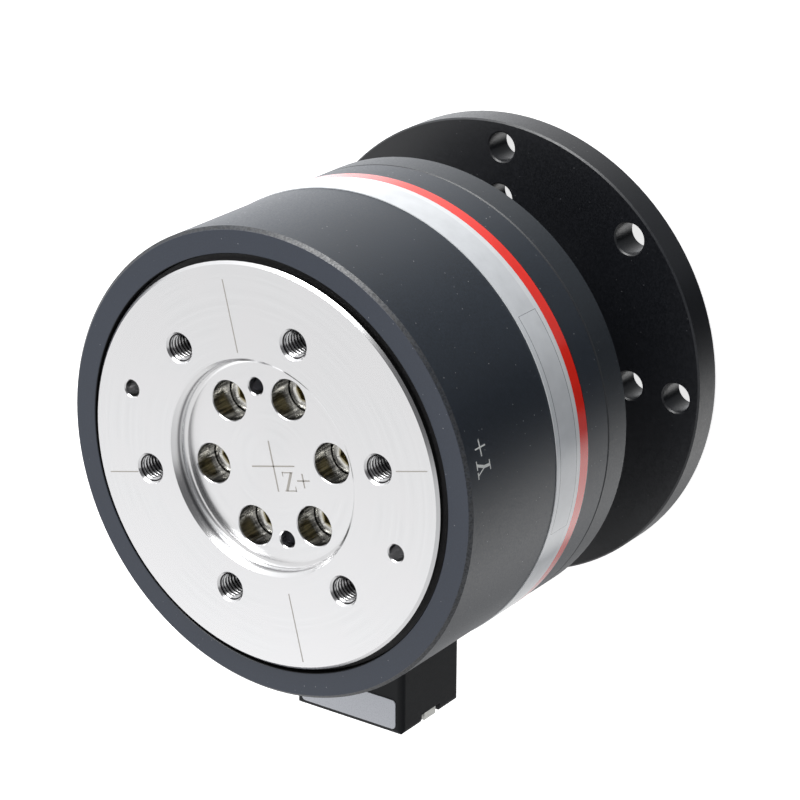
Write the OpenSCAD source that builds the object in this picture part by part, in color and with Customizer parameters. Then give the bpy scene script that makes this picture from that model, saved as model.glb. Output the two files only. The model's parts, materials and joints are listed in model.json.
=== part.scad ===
// Six-axis force torque sensor with a robot-side adapter flange.
// +Z runs along the sensor axis and out of the tool plate, +Y is the side engraved Y+.
// The origin is the centre of the adapter's rear face, which bolts to the robot.

/* [Tool plate] */
// Diameter of the tool plate
plate_d = 73; // [71:0.5:74]
// Thickness of the tool plate's disc
plate_t = 10; // [9:0.5:12]
// Height of the tool face above the sleeve's front
plate_proud = 1.05; // [0.4:0.05:2]
// Chamfer round the tool face
plate_chamfer = 0.5; // [0.2:0.1:1]
// Diameter of the pilot recess
pilot_d = 38; // [36.5:0.5:40]
// Depth of the pilot recess
pilot_depth = 3; // [2.4:0.2:4]
// Chamfer at the mouth of the pilot recess
pilot_chamfer = 0.6; // [0.2:0.1:0.9]
// Fillet at the foot of the pilot recess
pilot_fillet = 1; // [0.4:0.1:1.2]
// Bolt circle of the tool threads
tool_pcd = 50; // [48:0.5:51]
// Number of tool threads
tool_count = 6; // [4:1:8]
// Nominal diameter of the tool threads
tool_thread_d = 5; // [4:1:6]
// Depth of the tool threads
tool_thread_depth = 8.5; // [6:0.5:8.5]
// Countersink at the mouth of a tool thread
tool_csk = 0.35; // [0.1:0.05:0.6]
// Circle of the two tool dowel holes
pin_pcd = 58.4; // [57:0.2:61]
// Diameter of the tool dowel holes
pin_d = 3; // [2:0.5:4]
// Depth of the tool dowel holes
pin_depth = 6; // [4:0.5:8]
// Diameter of the boss that reaches the sensing hub
boss_d = 37; // [36:0.5:42]
// Height of the boss under the disc
boss_h = 6; // [5.5:0.5:8]

/* [Hub joint] */
// Bolt circle of the hub screws
hub_pcd = 26; // [25:0.5:27]
// Number of hub screws
hub_count = 6; // [4:1:6]
// Thread diameter of the hub screws
hub_screw_d = 4; // [3:0.5:4]
// Diameter of the hub screws' counterbores
counterbore_d = 7.2; // [7.1:0.1:7.8]
// Depth of the screw heads below the recess floor
head_sink = 5.4; // [2:0.2:5.8]
// Length of the hub screws
hub_screw_len = 12; // [10:1:14]
// Diameter of the hub dowels
hub_dowel_d = 3; // [2:0.5:3.5]
// Circle of the two hub dowels
hub_dowel_pcd = 27.5; // [26.5:0.5:28.5]
// Length of the hub dowels
hub_dowel_len = 15; // [13:1:16]

/* [Sleeve] */
// Height of the sleeve
sleeve_h = 42.75; // [42:0.25:48]
// Gap between the tool plate and the sleeve's mouth
mouth_gap = 1; // [0.6:0.1:1.1]
// Width of the shoulder below the mouth
shoulder_w = 1.2; // [1.1:0.1:1.6]
// Thickness of the sleeve's wall at its mouth
sleeve_wall = 4.75; // [4.5:0.25:5.5]
// Gap between the sleeve's shoulder and the tool plate
stop_gap = 0.5; // [0.2:0.1:1]
// Chamfer of the sleeve's front edge
sleeve_chamfer = 0.6; // [0.2:0.1:1]
// Chamfer on each side of the parting line
part_chamfer = 0.25; // [0.1:0.05:0.5]
// Height of the printed band
band_h = 10; // [8:0.5:12]
// Distance from the parting line to the band
band_up = 6.9; // [5:0.1:9]
// Thickness of the band
band_t = 0.15; // [0.1:0.05:0.3]

/* [Base] */
// Thickness of the base disc
base_t = 6.2; // [6:0.1:8]
// Height of the wall that carries the sensing element
wall_h = 11.8; // [11:0.2:14]
// Thickness of that wall
wall_t = 5.8; // [5.6:0.1:6.2]
// Number of sleeve screws
sleeve_screws_n = 8; // [4:1:8]
// Distance from the sleeve's outside to the sleeve screws
sleeve_screw_in = 3.05; // [2.85:0.05:3.2]
// Thread diameter of the sleeve screws
sleeve_screw_d = 2.5; // [2:0.5:2.5]

/* [Sensing element] */
// Height of the element's rim
rim_h = 12; // [11:0.5:13]
// Height of the beams
beam_h = 9; // [7:0.5:10]
// Width of the beams
beam_w = 6; // [4:0.5:8]
// Diameter of the hub
hub_d = 36; // [34:0.5:38]
// Land between the rim's inside and the slots behind the flexures
rim_land = 1.8; // [1.2:0.1:2.4]
// Thickness of a flexure
flexure_t = 1.1; // [0.8:0.1:1.6]
// Width of the slot behind a flexure
slot_w = 1.5; // [1:0.1:1.8]
// Length of the slot behind a flexure
slot_len = 20; // [16:0.5:20]
// Distance from the rim's outside to the rim screws
rim_screw_in = 3.6; // [3.4:0.1:3.7]
// Thread diameter of the rim screws
rim_screw_d = 3; // [2.5:0.5:3]
// Length of the rim screws
rim_screw_len = 22; // [21:1:24]
// Diameter of the overload pins
stop_pin_d = 4; // [3:0.5:4]
// Radial clearance round an overload pin
stop_clear = 0.25; // [0.1:0.05:0.4]

/* [Adapter flange] */
// Diameter of the adapter flange
flange_d = 88.5; // [87:0.5:96]
// Thickness of the adapter flange
flange_t = 6.2; // [5:0.2:8]
// Chamfer of the flange's edges
flange_chamfer = 0.3; // [0.1:0.1:0.6]
// Distance from the flange's edge to the outer bolt circle
robot_edge = 4.75; // [4:0.25:5.5]
// Screw holes of the outer bolt circle
robot_hole_d = 5.5; // [4.5:0.1:6.4]
// Locating holes halfway between them
locating_d = 5.9; // [4.5:0.1:6.4]
// Distance from the outer to the inner bolt circle
ring_step = 9.75; // [8.75:0.25:10.25]
// Hole of the inner bolt circle
inner_hole_d = 5.3; // [4.5:0.1:6]
// Diameter of the neck
neck_d = 44; // [42:0.5:46]
// Height of the neck between flange and base
neck_h = 21.8; // [20:0.2:30]
// Fillet between neck and flange
neck_fillet = 1.5; // [0.5:0.1:2]
// Diameter of the rear pilot recess
rear_pilot_d = 50; // [48:0.5:51]
// Depth of the rear pilot recess
rear_pilot_depth = 2.5; // [1.5:0.1:3.5]
// Bolt circle of the adapter screws
adapter_pcd = 32; // [31:0.5:33]
// Metal clamped under the adapter screws
adapter_grip = 9; // [8:0.5:12]
// Length of the adapter screws
adapter_screw_len = 14; // [13:0.5:14]
// Bore that lightens the neck
neck_bore_d = 20; // [14:0.5:21]
// Depth of solid metal left above that bore
neck_cap = 6; // [4:0.5:8]

/* [Connector box] */
// Width of the box round the body
box_w = 23.8; // [22:0.2:24]
// Height of the box along the axis
box_h = 18.5; // [17.5:0.1:18.5]
// Distance that the box stands out of the sleeve
box_out = 16.2; // [14.95:0.25:20.95]
// Direction of the box about the axis
box_a = -13.5; // [-18:0.5:-10]
// Radius of the box's edges
box_r = 1.2; // [0.5:0.1:1.4]
// Depth of the flat seat milled in the sleeve
seat_depth = 1.65; // [1.45:0.05:2.05]
// Thickness of the box's gasket
gasket_t = 0.6; // [0.4:0.1:1]
// Width of the slot across the box's outer face
ear_slot_w = 5.8; // [4.6:0.2:6]
// Depth of that slot
ear_slot_depth = 1.9; // [1.7:0.1:2.4]
// Rounding of the slot's lips
ear_slot_r = 0.9; // [0.5:0.1:1]
// Thickness of the connector's ears
ear_t = 1.6; // [1.2:0.1:1.6]
// Width of the connector's ears
ear_w = 3.6; // [3.4:0.2:4.2]
// Width of the connector shell
shell_w = 14.4; // [13:0.2:14.6]
// Height of the connector shell
shell_h = 6.4; // [6:0.2:6.6]
// Wall of the connector shell
shell_t = 0.6; // [0.4:0.1:0.8]
// Depth of the connector behind its ears
shell_depth = 7; // [6:0.1:7.4]
// Width of the cable passage
passage_w = 8; // [7.6:0.2:8.6]
// Height of the cable passage
passage_h = 4.4; // [3:0.2:5]

/* [Electronics] */
// Gap between the signal board and the wall round it
board_gap = 1.4; // [0.9:0.1:1.9]
// Thickness of the signal board
board_t = 1.6; // [1:0.2:2]
// Height of the board's standoffs
standoff_h = 4.6; // [3.6:0.2:5]
// Distance from the board's edge to its screws
board_screw_in = 3.5; // [3:0.1:4]
// Diameter of the bridge board under the hub
bridge_d = 30; // [26:0.5:34]
// Thickness of the bridge board
bridge_t = 1; // [0.8:0.1:1.6]
// Width of the flat cables
ribbon_w = 7; // [5:0.5:7]
// Thickness of the flat cables
ribbon_t = 0.4; // [0.2:0.1:0.5]

/* [Fits] */
// Radial clearance of the sleeve over the wall and the rim
locate_gap = 0.1; // [0.05:0.05:0.25]
// Radial clearance between a screw and its thread's nominal bore
thread_gap = 0.05; // [0.02:0.01:0.1]
// Radial clearance of a screw in its through hole
screw_gap = 0.25; // [0.1:0.05:0.3]
// Radial clearance of a screw head in its counterbore
head_gap = 0.25; // [0.15:0.05:0.4]
// Clearance of the connector in the box
shell_gap = 0.3; // [0.1:0.05:0.35]
// Gap between the dust seal and the sleeve's mouth
seal_gap = 0.1; // [0.05:0.05:0.3]

/* [Hidden] */
$fn = 96;
eps = 0.01;

// Diameters that follow the tool plate, from the plate out to the sleeve
mouth_d = plate_d + 2 * mouth_gap;
sleeve_bore_d = mouth_d - 2 * shoulder_w;
body_d = mouth_d + 2 * sleeve_wall;
sleeve_pcd = body_d - 2 * sleeve_screw_in;

// Levels of the stack, from the rear face up
z_base = flange_t + neck_h;
z_part = z_base + base_t;
z_sleeve = z_part + sleeve_h;
z_tool = z_sleeve + plate_proud;
z_floor = z_tool - pilot_depth;
z_under = z_tool - plate_t;
z_hub = z_under - boss_h;
z_rim = z_part + wall_h;
z_rim_top = z_rim + rim_h;
z_beam = z_rim_top - beam_h;
z_shoulder = z_under - stop_gap;

// Cap screws: head diameter and head height from the thread diameter
function head_d(d) = 1.75 * d;
function head_h(d) = d;
// Through holes and counterbores follow the screw
function through_d(d) = d + 2 * screw_gap;
function bore_d(d) = head_d(d) + 2 * head_gap;

// Tool plate
tool_a = 30;
pin_a = 60;
pin_chamfer = 0.2;

// Hub joint
z_seat = z_floor - head_sink - head_h(hub_screw_d);
hub_screw_a = 30;
hub_tap_depth = hub_screw_len - (z_seat - z_hub) + 0.5;
dowel_into_hub = 6;

// Sleeve and band
dust_h = 2;
dust_down = 2.6;
dust_groove = 1.2;
band_clear_a = 6;
box_half_a = asin(box_w / body_d);

// Base and sensing element
wall_r = sleeve_bore_d / 2 - locate_gap;
wall_in = wall_r - wall_t;
rim_screw_pcd = 2 * (wall_r - rim_screw_in);
flexure_in = wall_in - rim_land - slot_w - flexure_t;
rim_screws_n = 8;
rim_engage = 8;
rim_seat_z = z_rim - (rim_screw_len - rim_engage);
rim_tap_depth = rim_engage + 0.4;
seal_cs = 1.3;
seal_up = 3.4;
beam_n = 4;
window_r = wall_in - 1;
relief_r = 1.2;
stop_pin_a = 22.5;
stop_pin_up = 5;
stop_pin_down = 5;
sleeve_a = box_a + 180 / sleeve_screws_n;
sleeve_screw_len = 8;
sleeve_head_sink = 0.3;

// Strain gauges
gauge_l = 3.2;
gauge_w = 2.2;
gauge_t = 0.2;
gauge_gap = 1;

// Adapter
adapter_screw_d = 4;
adapter_n = 6;
adapter_a = 30;
adapter_dowel_d = 4;
adapter_dowel_len = 10;
robot_pcd = flange_d - 2 * robot_edge;
inner_pcd = robot_pcd - 2 * ring_step;
robot_n = 4;
robot_a = 75;
inner_a = 75;
hole_chamfer = 0.25;

// Electronics
board_d = 2 * (wall_in - board_gap);
standoff_pcd = board_d - 2 * board_screw_in;
z_board = z_part + standoff_h;
z_board_top = z_board + board_t;
standoff_a = 31;
standoff_d = 5;
board_screw_d = 2.5;
board_screw_len = 4.5;
board_tap_depth = 3.2;
stud_len = 3;
header = [4, 10, 2];
header_x = -3;
socket_h = 2.6;
cable_socket_size = [5, 8, 3.2];
// Packages: place on the board and size
chips = [[[9, 12], [10, 10, 1.4]], [[10, -12], [7, 7, 1.2]], [[-14, 12], [5, 6, 1.5]],
    [[-14, -12], [5, 6, 1.5]], [[-4, -18], [5, 4, 1.2]], [[16, 2], [4, 5, 1.2]]];
crystal = [[0, 13], [3.2, 2.5, 0.8]];
capacitor = [1.6, 0.8, 0.8];
capacitor_pitch = 3;
capacitor_row = board_d / 2 - 7.5;
cable_socket_x = board_d / 2 - 1 - cable_socket_size[0];

// Connector box, in its own frame: x outwards, y round the body, z along the axis
seat_r = body_d / 2 - seat_depth;
seat_side = 0.4;
box_reach = body_d / 2 + box_out;
box_up = 0.1;
box_z = z_part + box_up + box_h / 2;
box_in = seat_r + gasket_t;
box_screw_d = 2;
box_screw_len = 12;
box_screw_in = 3;
box_screw_y = box_w / 2 - box_screw_in;
box_screw_z = box_h / 2 - box_screw_in;
box_engage = 3.4;
box_seat = seat_r - box_engage + box_screw_len;
ear_floor = box_reach - ear_slot_depth;
shell_back = ear_floor - shell_depth;
ear_len = box_w - seat_side;
chamber_w = 12;
chamber_h = 7;
passage_z = z_board_top + 1.8 - box_z;
insert_t = 2.6;
ear_screw_y = ear_len / 2 - 1.9;
ear_screw_d = 1.6;
ear_screw_len = 5;
ear_head_d = 3;
sticker_w = box_w - 2 * (box_r + 0.2);
sticker_h = 5.8;
sticker_t = 0.15;
contact_d = 0.7;
contact_pitch = 2;
contact_up = 1.8;

// Places n copies on a circle, the first at angle a0
module ring_of(n, pcd, a0 = 0) {
    for (i = [0 : n - 1])
        rotate(a0 + i * 360 / n) translate([pcd / 2, 0, 0]) children();
}

// Cylinder of diameter d that grows by c at its mouth, mouth at z = 0, hole going down
module mouth_hole(d, depth, c) {
    translate([0, 0, -depth]) cylinder(d = d, h = depth + eps);
    translate([0, 0, -c]) cylinder(d1 = d, d2 = d + 2 * c + 2 * eps, h = c + eps);
}

// Disc with chamfered edges
module chamfered_disc(d, h, bottom_c, top_c) {
    rotate_extrude()
        polygon([[0, 0], [d / 2 - bottom_c, 0], [d / 2, bottom_c], [d / 2, h - top_c],
            [d / 2 - top_c, h], [0, h]]);
}

// Socket head cap screw: seat of the head at z = 0, head up, thread down
module cap_screw(d, len) {
    difference() {
        union() {
            chamfered_disc(head_d(d), head_h(d), 0, 0.08 * d);
            translate([0, 0, -len]) chamfered_disc(d, len + eps, 0.1 * d, 0);
        }
        translate([0, 0, 0.45 * d]) cylinder(r = 0.46 * d, h = d, $fn = 6);
        translate([0, 0, 0.9 * d]) cylinder(d1 = 0.8 * d, d2 = 1.12 * d, h = 0.1 * d + eps);
    }
}

// Flat head screw: top of the head at z = 0, pointing down
module flat_screw(d, len, top_d) {
    difference() {
        union() {
            translate([0, 0, -0.55 * d]) cylinder(d1 = d, d2 = top_d, h = 0.55 * d);
            translate([0, 0, -len]) cylinder(d = d, h = len - 0.5 * d);
        }
        translate([0, 0, -0.35 * d]) cylinder(r = 0.36 * d, h = d, $fn = 6);
    }
}

// Rectangle with rounded corners, centred
module round_rect(w, h, r) {
    square([w - 2 * r, h], center = true);
    square([w, h - 2 * r], center = true);
    for (x = [-1, 1], y = [-1, 1])
        translate([x * (w / 2 - r), y * (h / 2 - r)]) circle(r = r);
}

// Block rounded on every edge, centred in y and z, from x = 0 to x = l
module round_block(l, w, h, r) {
    intersection() {
        rotate([90, 0, 90]) linear_extrude(l) round_rect(w, h, r);
        translate([l / 2, 0, -h / 2]) linear_extrude(h) round_rect(l, w, r);
        translate([l / 2, w / 2, 0]) rotate([90, 0, 0]) linear_extrude(w) round_rect(l, h, r);
    }
}

// Filling that rounds a square inner corner at the origin, opening towards +x +y
module corner_fill(r) {
    difference() {
        square(r);
        translate([r, r]) circle(r = r);
    }
}

// Frame of the connector box
module in_box_frame() {
    rotate(box_a) translate([0, 0, box_z]) children();
}

// Cylinder along x from x0 to x1
module bar_x(d, x0, x1) {
    translate([x0, 0, 0]) rotate([0, 90, 0]) cylinder(d = d, h = x1 - x0);
}

// Four places of the box screws, in the box's frame
module box_screw_places() {
    for (y = [-1, 1], z = [-1, 1])
        translate([0, y * box_screw_y, z * box_screw_z]) children();
}

// D-shaped outline of the connector, narrower on its lower side
module d_outline(w, h) {
    r = 1;
    taper = 0.9;
    hull() {
        for (s = [-1, 1]) {
            translate([s * (w / 2 - r), h / 2 - r]) circle(r = r, $fn = 32);
            translate([s * (w / 2 - r - taper), r - h / 2]) circle(r = r, $fn = 32);
        }
    }
}

module tool_plate() {
    recess_r = pilot_d / 2;
    color([0.86, 0.87, 0.88]) difference() {
        union() {
            translate([0, 0, z_under]) chamfered_disc(plate_d, plate_t, 0.3, plate_chamfer);
            translate([0, 0, z_hub]) cylinder(d = boss_d, h = boss_h + eps);
        }
        // Pilot recess, turned with a chamfered mouth and a filleted foot
        translate([0, 0, z_floor]) rotate_extrude()
            polygon(concat(
                [[0, 0]],
                [for (i = [0 : 12]) let (a = -90 + i * 7.5)
                    [recess_r - pilot_fillet + pilot_fillet * cos(a),
                        pilot_fillet + pilot_fillet * sin(a)]],
                [[recess_r, pilot_depth - pilot_chamfer],
                    [recess_r + pilot_chamfer + eps, pilot_depth + eps],
                    [0, pilot_depth + eps]]));
        translate([0, 0, z_tool]) {
            ring_of(tool_count, tool_pcd, tool_a)
                mouth_hole(tool_thread_d, tool_thread_depth, tool_csk);
            ring_of(2, pin_pcd, pin_a) mouth_hole(pin_d, pin_depth, pin_chamfer);
        }
        // Counterbored holes of the hub screws
        ring_of(hub_count, hub_pcd, hub_screw_a) {
            translate([0, 0, z_floor]) mouth_hole(counterbore_d, z_floor - z_seat, 0.15);
            translate([0, 0, z_hub - eps])
                cylinder(d = through_d(hub_screw_d), h = z_seat - z_hub + 2 * eps);
        }
        translate([0, 0, z_floor]) ring_of(2, hub_dowel_pcd)
            mouth_hole(hub_dowel_d, z_floor - z_hub + eps, pin_chamfer);
        ring_of(4, rim_screw_pcd, stop_pin_a)
            translate([0, 0, z_under - eps]) cylinder(d = stop_pin_d, h = stop_pin_up + eps);
        // Groove of the dust seal
        translate([0, 0, z_tool - dust_down - dust_h]) difference() {
            cylinder(d = plate_d + 2, h = dust_h);
            translate([0, 0, -eps]) cylinder(d = plate_d - 2 * dust_groove, h = dust_h + 2 * eps);
        }
    }
}

module hub_screws() {
    color([0.72, 0.7, 0.62]) ring_of(hub_count, hub_pcd, hub_screw_a)
        translate([0, 0, z_seat]) cap_screw(hub_screw_d, hub_screw_len);
}

module hub_dowels() {
    color([0.25, 0.26, 0.28]) ring_of(2, hub_dowel_pcd)
        translate([0, 0, z_hub - dowel_into_hub])
            chamfered_disc(hub_dowel_d, hub_dowel_len, 0.3, 0.3);
}

module dust_seal() {
    color([0.04, 0.04, 0.045]) translate([0, 0, z_tool - dust_down - dust_h]) difference() {
        cylinder(d = mouth_d - 2 * seal_gap, h = dust_h);
        translate([0, 0, -eps]) cylinder(d = plate_d - 2 * dust_groove, h = dust_h + 2 * eps);
    }
}

module housing_sleeve() {
    color([0.2, 0.21, 0.23]) difference() {
        translate([0, 0, z_part]) chamfered_disc(body_d, sleeve_h, part_chamfer, sleeve_chamfer);
        translate([0, 0, z_part - eps]) cylinder(d = sleeve_bore_d, h = sleeve_h);
        translate([0, 0, z_shoulder]) cylinder(d = mouth_d, h = z_sleeve - z_shoulder + eps);
        translate([0, 0, z_sleeve - 0.2])
            cylinder(d1 = mouth_d, d2 = mouth_d + 0.4 + 2 * eps, h = 0.2 + eps);
        ring_of(sleeve_screws_n, sleeve_pcd, sleeve_a)
            translate([0, 0, z_part - eps])
                cylinder(d = sleeve_screw_d + 2 * thread_gap, h = sleeve_screw_len);
        in_box_frame() {
            // Flat seat, passage and threads of the connector box
            translate([seat_r, -box_w / 2 - seat_side, z_part - box_z - eps])
                cube([box_reach, box_w + 2 * seat_side, box_up + box_h + seat_side + eps]);
            translate([seat_r - 12, -passage_w / 2, passage_z - passage_h / 2])
                cube([14, passage_w, passage_h]);
            box_screw_places()
                bar_x(box_screw_d + 2 * thread_gap, seat_r - box_engage - 0.4, seat_r + eps);
        }
    }
}

module printed_band() {
    open_a = box_half_a + band_clear_a;
    color([0.85, 0.86, 0.88]) translate([0, 0, z_part + band_up])
        rotate(box_a + open_a) rotate_extrude(angle = 360 - 2 * open_a)
            translate([body_d / 2, 0]) square([band_t, band_h]);
}

// Plan of the sensing element's web: disc less the windows and slots that leave
// four beams, four flexures and the rim
module element_web() {
    slot_x = flexure_in + flexure_t + slot_w / 2;
    difference() {
        circle(r = wall_r);
        for (k = [0 : beam_n - 1]) rotate(k * 360 / beam_n) {
            difference() {
                intersection() {
                    translate([beam_w / 2, beam_w / 2])
                        square([flexure_in - beam_w / 2, flexure_in - beam_w / 2]);
                    circle(r = window_r);
                }
                circle(d = hub_d);
                translate([flexure_in, beam_w / 2]) rotate(90) corner_fill(relief_r);
                translate([beam_w / 2, flexure_in]) rotate(-90) corner_fill(relief_r);
            }
            translate([slot_x, 0]) square([slot_w, slot_len - slot_w], center = true);
            for (s = [-1, 1])
                translate([slot_x, s * (slot_len - slot_w) / 2]) circle(d = slot_w);
        }
    }
}

module sensing_element() {
    color([0.75, 0.76, 0.78]) difference() {
        union() {
            translate([0, 0, z_beam]) linear_extrude(beam_h) element_web();
            translate([0, 0, z_rim]) difference() {
                cylinder(r = wall_r, h = rim_h);
                translate([0, 0, -eps]) cylinder(r = wall_in, h = rim_h + 2 * eps);
            }
            translate([0, 0, z_beam]) cylinder(d = hub_d, h = z_hub - z_beam);
        }
        ring_of(hub_count, hub_pcd, hub_screw_a)
            translate([0, 0, z_hub - hub_tap_depth])
                cylinder(d = hub_screw_d + 2 * thread_gap, h = hub_tap_depth + eps);
        ring_of(2, hub_dowel_pcd) translate([0, 0, z_hub - dowel_into_hub])
            cylinder(d = hub_dowel_d, h = dowel_into_hub + eps);
        ring_of(rim_screws_n, rim_screw_pcd) translate([0, 0, z_rim - eps])
            cylinder(d = rim_screw_d + 2 * thread_gap, h = rim_tap_depth);
        ring_of(4, rim_screw_pcd, stop_pin_a) translate([0, 0, z_rim_top - stop_pin_down])
            cylinder(d = stop_pin_d + 2 * stop_clear, h = stop_pin_down + eps);
    }
}

// One foil gauge lying flat on the face at z = 0
module gauge() {
    translate([-gauge_l / 2, -gauge_w / 2, 0]) cube([gauge_l, gauge_w, gauge_t]);
}

module strain_gauges() {
    root_x = hub_d / 2 + gauge_gap + gauge_l / 2;
    mid_z = z_beam + beam_h / 2;
    flexure_y = beam_w / 2 + relief_r + gauge_gap + gauge_l / 2;
    color([0.8, 0.5, 0.2]) for (k = [0 : beam_n - 1]) rotate(k * 360 / beam_n) {
        translate([root_x, 0, z_rim_top]) gauge();
        translate([root_x, 0, z_beam]) rotate([180, 0, 0]) gauge();
        for (s = [-1, 1]) {
            translate([root_x, s * beam_w / 2, mid_z]) rotate([-90 * s, 0, 0]) gauge();
            translate([flexure_in, s * flexure_y, mid_z])
                rotate([0, -90, 0]) rotate(90) gauge();
        }
    }
}

module overload_pins() {
    color([0.6, 0.61, 0.63]) ring_of(4, rim_screw_pcd, stop_pin_a)
        translate([0, 0, z_rim_top - stop_pin_down + 0.5])
            chamfered_disc(stop_pin_d, z_under + stop_pin_up - z_rim_top + stop_pin_down - 0.5,
                0.3, 0.3);
}

module bridge_board() {
    color([0.1, 0.35, 0.2]) translate([0, 0, z_beam - bridge_t]) cylinder(d = bridge_d, h = bridge_t);
}

module bridge_header() {
    color([0.9, 0.88, 0.8]) translate([header_x, -header[1] / 2, z_beam - bridge_t - header[2]])
        cube(header);
}

// Flat cable that loops from the bridge header down to its socket on the signal board
module bridge_ribbon() {
    upper_z = z_beam - bridge_t - header[2] / 2;
    lower_z = z_board_top + socket_h / 2;
    loop_r = (upper_z - lower_z) / 2;
    straight = 3;
    color([0.75, 0.55, 0.3]) translate([header_x, ribbon_w / 2, (upper_z + lower_z) / 2])
        rotate([90, 0, 0]) linear_extrude(ribbon_w) {
            for (s = [-1, 1])
                translate([-straight, s * loop_r - ribbon_t / 2]) square([straight, ribbon_t]);
            translate([-straight, 0]) intersection() {
                difference() {
                    circle(r = loop_r + ribbon_t / 2);
                    circle(r = loop_r - ribbon_t / 2);
                }
                translate([-3 * loop_r, -3 * loop_r]) square([3 * loop_r, 6 * loop_r]);
            }
        }
}

module base_plate() {
    color([0.17, 0.18, 0.2]) difference() {
        union() {
            translate([0, 0, z_base]) chamfered_disc(body_d, base_t, 0.3, part_chamfer);
            translate([0, 0, z_part - eps]) cylinder(r = wall_r, h = wall_h + eps);
        }
        translate([0, 0, z_part]) cylinder(r = wall_in, h = wall_h + eps);
        // Rim screws, counterbored from the rear
        ring_of(rim_screws_n, rim_screw_pcd) {
            translate([0, 0, z_base - eps])
                cylinder(d = bore_d(rim_screw_d), h = rim_seat_z - z_base + eps);
            translate([0, 0, z_base]) cylinder(d = through_d(rim_screw_d), h = z_rim - z_base + eps);
        }
        ring_of(sleeve_screws_n, sleeve_pcd, sleeve_a) {
            translate([0, 0, z_base - eps])
                cylinder(d = bore_d(sleeve_screw_d), h = head_h(sleeve_screw_d) + sleeve_head_sink);
            translate([0, 0, z_base]) cylinder(d = through_d(sleeve_screw_d), h = base_t + eps);
        }
        // Threads and dowel holes for the adapter
        ring_of(adapter_n, adapter_pcd, adapter_a) translate([0, 0, z_base - eps])
            cylinder(d = adapter_screw_d + 2 * thread_gap, h = adapter_screw_len - adapter_grip + 0.4);
        ring_of(2, adapter_pcd) translate([0, 0, z_base - eps])
            cylinder(d = adapter_dowel_d, h = adapter_dowel_len / 2 + eps);
        // Threads of the standoffs
        ring_of(4, standoff_pcd, standoff_a) translate([0, 0, z_part - stud_len])
            cylinder(d = board_screw_d, h = stud_len + eps);
        // Groove of the base seal
        translate([0, 0, z_part + seal_up - seal_cs / 2 - 0.2]) difference() {
            cylinder(r = wall_r + 1, h = seal_cs + 0.4);
            translate([0, 0, -eps])
                cylinder(r = sleeve_bore_d / 2 - seal_cs, h = seal_cs + 0.4 + 2 * eps);
        }
        in_box_frame() translate([wall_in - 2, -passage_w / 2, passage_z - passage_h / 2])
            cube([wall_t + 4, passage_w, passage_h]);
    }
}

module rim_screws() {
    color([0.3, 0.3, 0.32]) ring_of(rim_screws_n, rim_screw_pcd)
        translate([0, 0, rim_seat_z]) rotate([180, 0, 0]) cap_screw(rim_screw_d, rim_screw_len);
}

module sleeve_screws() {
    color([0.3, 0.3, 0.32]) ring_of(sleeve_screws_n, sleeve_pcd, sleeve_a)
        translate([0, 0, z_base + head_h(sleeve_screw_d) + sleeve_head_sink - eps])
            rotate([180, 0, 0]) cap_screw(sleeve_screw_d, sleeve_screw_len);
}

module base_seal() {
    color([0.05, 0.05, 0.05]) translate([0, 0, z_part + seal_up]) rotate_extrude()
        translate([(sleeve_bore_d - seal_cs) / 2, 0]) circle(d = seal_cs - 0.02, $fn = 48);
}

module signal_board() {
    color([0.08, 0.3, 0.16]) difference() {
        translate([0, 0, z_board]) cylinder(d = board_d, h = board_t);
        ring_of(4, standoff_pcd, standoff_a) translate([0, 0, z_board - eps])
            cylinder(d = through_d(board_screw_d), h = board_t + 2 * eps);
    }
}

// One package centred at a place on the signal board
module package(place, size) {
    translate([place[0] - size[0] / 2, place[1] - size[1] / 2, z_board_top]) cube(size);
}

module board_chips() {
    color([0.08, 0.08, 0.09]) for (c = chips) package(c[0], c[1]);
}

module board_capacitors() {
    color([0.6, 0.5, 0.35]) for (a = [90, 180, 270], i = [-2 : 2])
        if (a < 270 || i >= 0)
            rotate(a) package([capacitor_row, i * capacitor_pitch], capacitor);
}

module crystal_can() {
    color([0.7, 0.7, 0.68]) package(crystal[0], crystal[1]);
}

module bridge_socket() {
    color([0.9, 0.88, 0.8]) translate([header_x, -header[1] / 2, z_board_top])
        cube([header[0], header[1], socket_h]);
}

module cable_socket() {
    size = cable_socket_size;
    color([0.9, 0.88, 0.8]) rotate(box_a) translate([cable_socket_x, -size[1] / 2, z_board_top])
        cube(size);
}

module board_standoffs() {
    color([0.75, 0.65, 0.35]) ring_of(4, standoff_pcd, standoff_a) difference() {
        union() {
            translate([0, 0, z_part]) cylinder(d = standoff_d, h = standoff_h, $fn = 6);
            translate([0, 0, z_part - stud_len]) cylinder(d = board_screw_d, h = stud_len + eps);
        }
        translate([0, 0, z_board - board_tap_depth])
            cylinder(d = board_screw_d + 2 * thread_gap, h = board_tap_depth + eps);
    }
}

module board_screws() {
    color([0.7, 0.7, 0.72]) ring_of(4, standoff_pcd, standoff_a)
        translate([0, 0, z_board_top]) cap_screw(board_screw_d, board_screw_len);
}

module cable_ribbon() {
    color([0.75, 0.55, 0.3]) in_box_frame()
        translate([cable_socket_x + cable_socket_size[0], -ribbon_w / 2, passage_z - ribbon_t / 2])
            cube([shell_back - cable_socket_x - cable_socket_size[0], ribbon_w, ribbon_t]);
}

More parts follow.
